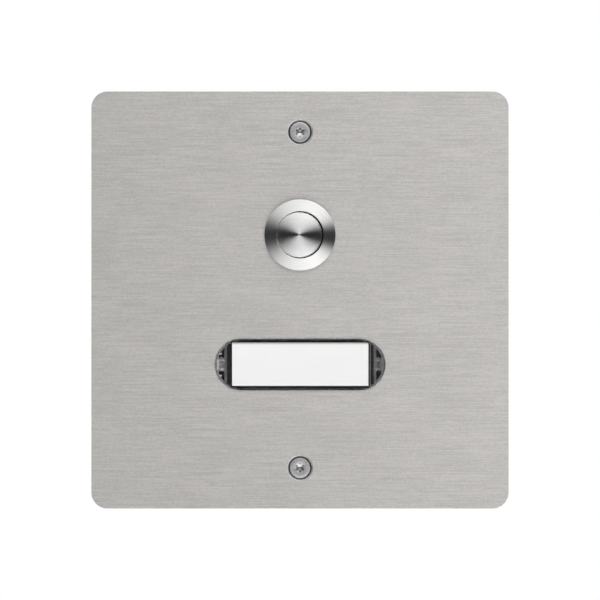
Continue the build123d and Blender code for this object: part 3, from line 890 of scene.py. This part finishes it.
def draw_in(node, axes, shank, root, front):
    """A merged copy of a CAD piece, with its shank behind a front drawn in to a root radius."""
    mesh = nodes[node].data.copy()
    mesh.materials.clear()
    if "custom_normal" in mesh.attributes:
        mesh.attributes.remove(mesh.attributes["custom_normal"])
    shape = bmesh.new()
    shape.from_mesh(mesh)
    bmesh.ops.remove_doubles(shape, verts=shape.verts, dist=weld)
    for vert in shape.verts:
        axis = min(axes, key=lambda point: (vert.co - point).xz.length)
        outward = (vert.co - axis) * Vector((1, 0, 1))
        if root < outward.length < shank + slack and vert.co.y > front:
            vert.co -= outward * (1 - root / outward.length)
    shape.to_mesh(mesh)
    shape.free()
    return mesh


print("points closer than this are merged, in mm:", round(weld / MM, 4))

# %% Cut the housing's thread
ridge_sink = 0.1 * MM
housing_pitch, housing_steps = 1.0 * MM, 64
housing_front, housing_end = -1.5 * MM, 15.9 * MM
shank_front = -2.5 * MM
button_centre = Vector((button_axis.x, 0, button_axis.z))

housing = add_piece("threaded_housing", draw_in(
    "button_housing", [button_centre], housing_thread, housing_root, shank_front
))
grow(housing, thread_tree, {
    "Core Radius": housing_root, "Ridge": housing_thread - housing_root, "Sink": ridge_sink,
    "Pitch": housing_pitch, "Length": housing_end - housing_front, "Steps": housing_steps,
    "Start": (button_centre.x, housing_front, button_centre.z), "Spacing": (0, 0, 0), "Count": 1,
    "Material": turned_bezel,
})
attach(housing, "door_plate")
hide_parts("button_housing")

# %% [markdown]
# The two fixing screws are one piece, so the tree sets its ridge on two points. Their
# thread is finer, and starts behind the plate.

# %% Thread the fixing screws
thread_pitch, thread_steps = 0.5 * MM, 24
screw_front, screw_end = 0.3 * MM, 17.9 * MM
screw_shank_front = -0.2 * MM
screw_axes = [Vector((0, 0, screw_pitch / 2)), Vector((0, 0, -screw_pitch / 2))]

fixings = add_piece("threaded_screws", draw_in(
    "fixing_screws", screw_axes, screw_thread, screw_root, screw_shank_front
))
grow(fixings, thread_tree, {
    "Core Radius": screw_root, "Ridge": screw_thread - screw_root, "Sink": ridge_sink,
    "Pitch": thread_pitch, "Length": screw_end - screw_front, "Steps": thread_steps,
    "Start": (0, screw_front, screw_axes[0].z), "Spacing": (0, 0, -screw_pitch),
    "Count": len(screw_axes), "Material": screw_steel,
})
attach(fixings, "door_plate")
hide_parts("fixing_screws")

# %% [markdown]
# ## The return spring
#
# The spring is wound from round wire. Its end turns lie close, one wire apart, so that it
# stands square, and the turns between them share the rest of its length. That rule is a
# few lines in a node tree: a flat spiral is lifted by a height that grows at the wire's
# pace in the first and last turns. The spring shortens when the button is pressed.

# %% Build the coil tree
wire_sides = 14
closed_turns = 2

coil_tree, bench, empty = new_tree("closed coil", {
    "Coil Radius": FLOAT, "Wire": FLOAT, "Turns": FLOAT, "Length": FLOAT, "Steps": INTEGER,
    "Start": VECTOR, "Material": MATERIAL,
})
wire, turns = empty.other("Wire"), empty.other("Turns")
flat = bench.node("GeometryNodeCurveSpiral", sockets={
    "Resolution": empty.other("Steps"), "Rotations": turns, "Height": 0.0, "Reverse": True,
    "Start Radius": empty.other("Coil Radius"), "End Radius": empty.other("Coil Radius"),
})
turn = bench.node("GeometryNodeSplineParameter", output="Factor") * turns
open_turns = turns - closed_turns
open_pitch = (empty.other("Length") - (closed_turns + 1) * wire) / open_turns
lift = turn.least(1.0) * wire + (turn - 1).most(0.0).least(open_turns) * open_pitch
lift = lift + (turn - turns + 1).most(0.0) * wire
rising = bench.node("ShaderNodeCombineXYZ", sockets={"Z": lift})
lifted = bench.node("GeometryNodeSetPosition", sockets={"Geometry": flat, "Offset": rising})
upright = bench.node("GeometryNodeSetCurveNormal", {"mode": "Z_UP"}, {"Curve": lifted})
round_wire = bench.node("GeometryNodeCurvePrimitiveCircle", sockets={
    "Resolution": wire_sides, "Radius": wire / 2,
})
wound = bench.node("GeometryNodeCurveToMesh", sockets={
    "Curve": upright, "Profile Curve": round_wire, "Fill Caps": True,
})
placed = bench.node("GeometryNodeTransform", sockets={
    "Geometry": wound, "Rotation": (-pi / 2, 0, 0), "Translation": empty.other("Start"),
})
give_out(bench, placed, empty.other("Material"))
coil_sockets = coil_tree.interface.items_tree
print("coil inputs:", [item.name for item in coil_sockets if item.in_out == "INPUT"])

# %% Wind the spring
spring_low, spring_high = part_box("return_spring")
spring_wire = 0.5 * MM
spring_turns = 5.5
spring_steps = 40
spring_length = spring_high.y - spring_low.y

spring = add_piece("wound_spring", bpy.data.meshes.new("wound_spring"))
grow(spring, coil_tree, {
    "Coil Radius": (spring_high.z - spring_low.z - spring_wire) / 2, "Wire": spring_wire,
    "Turns": spring_turns, "Length": spring_length, "Steps": spring_steps,
    "Start": (0, spring_low.y + spring_wire / 2, (spring_low.z + spring_high.z) / 2),
    "Material": spring_steel,
})
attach(spring, "door_plate")
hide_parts("return_spring")
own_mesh(spring)
print("spring length in mm:", round(spring_length / MM, 2))

# %% [markdown]
# ## The size
#
# Finishes and threads must not make the object larger than its CAD model.
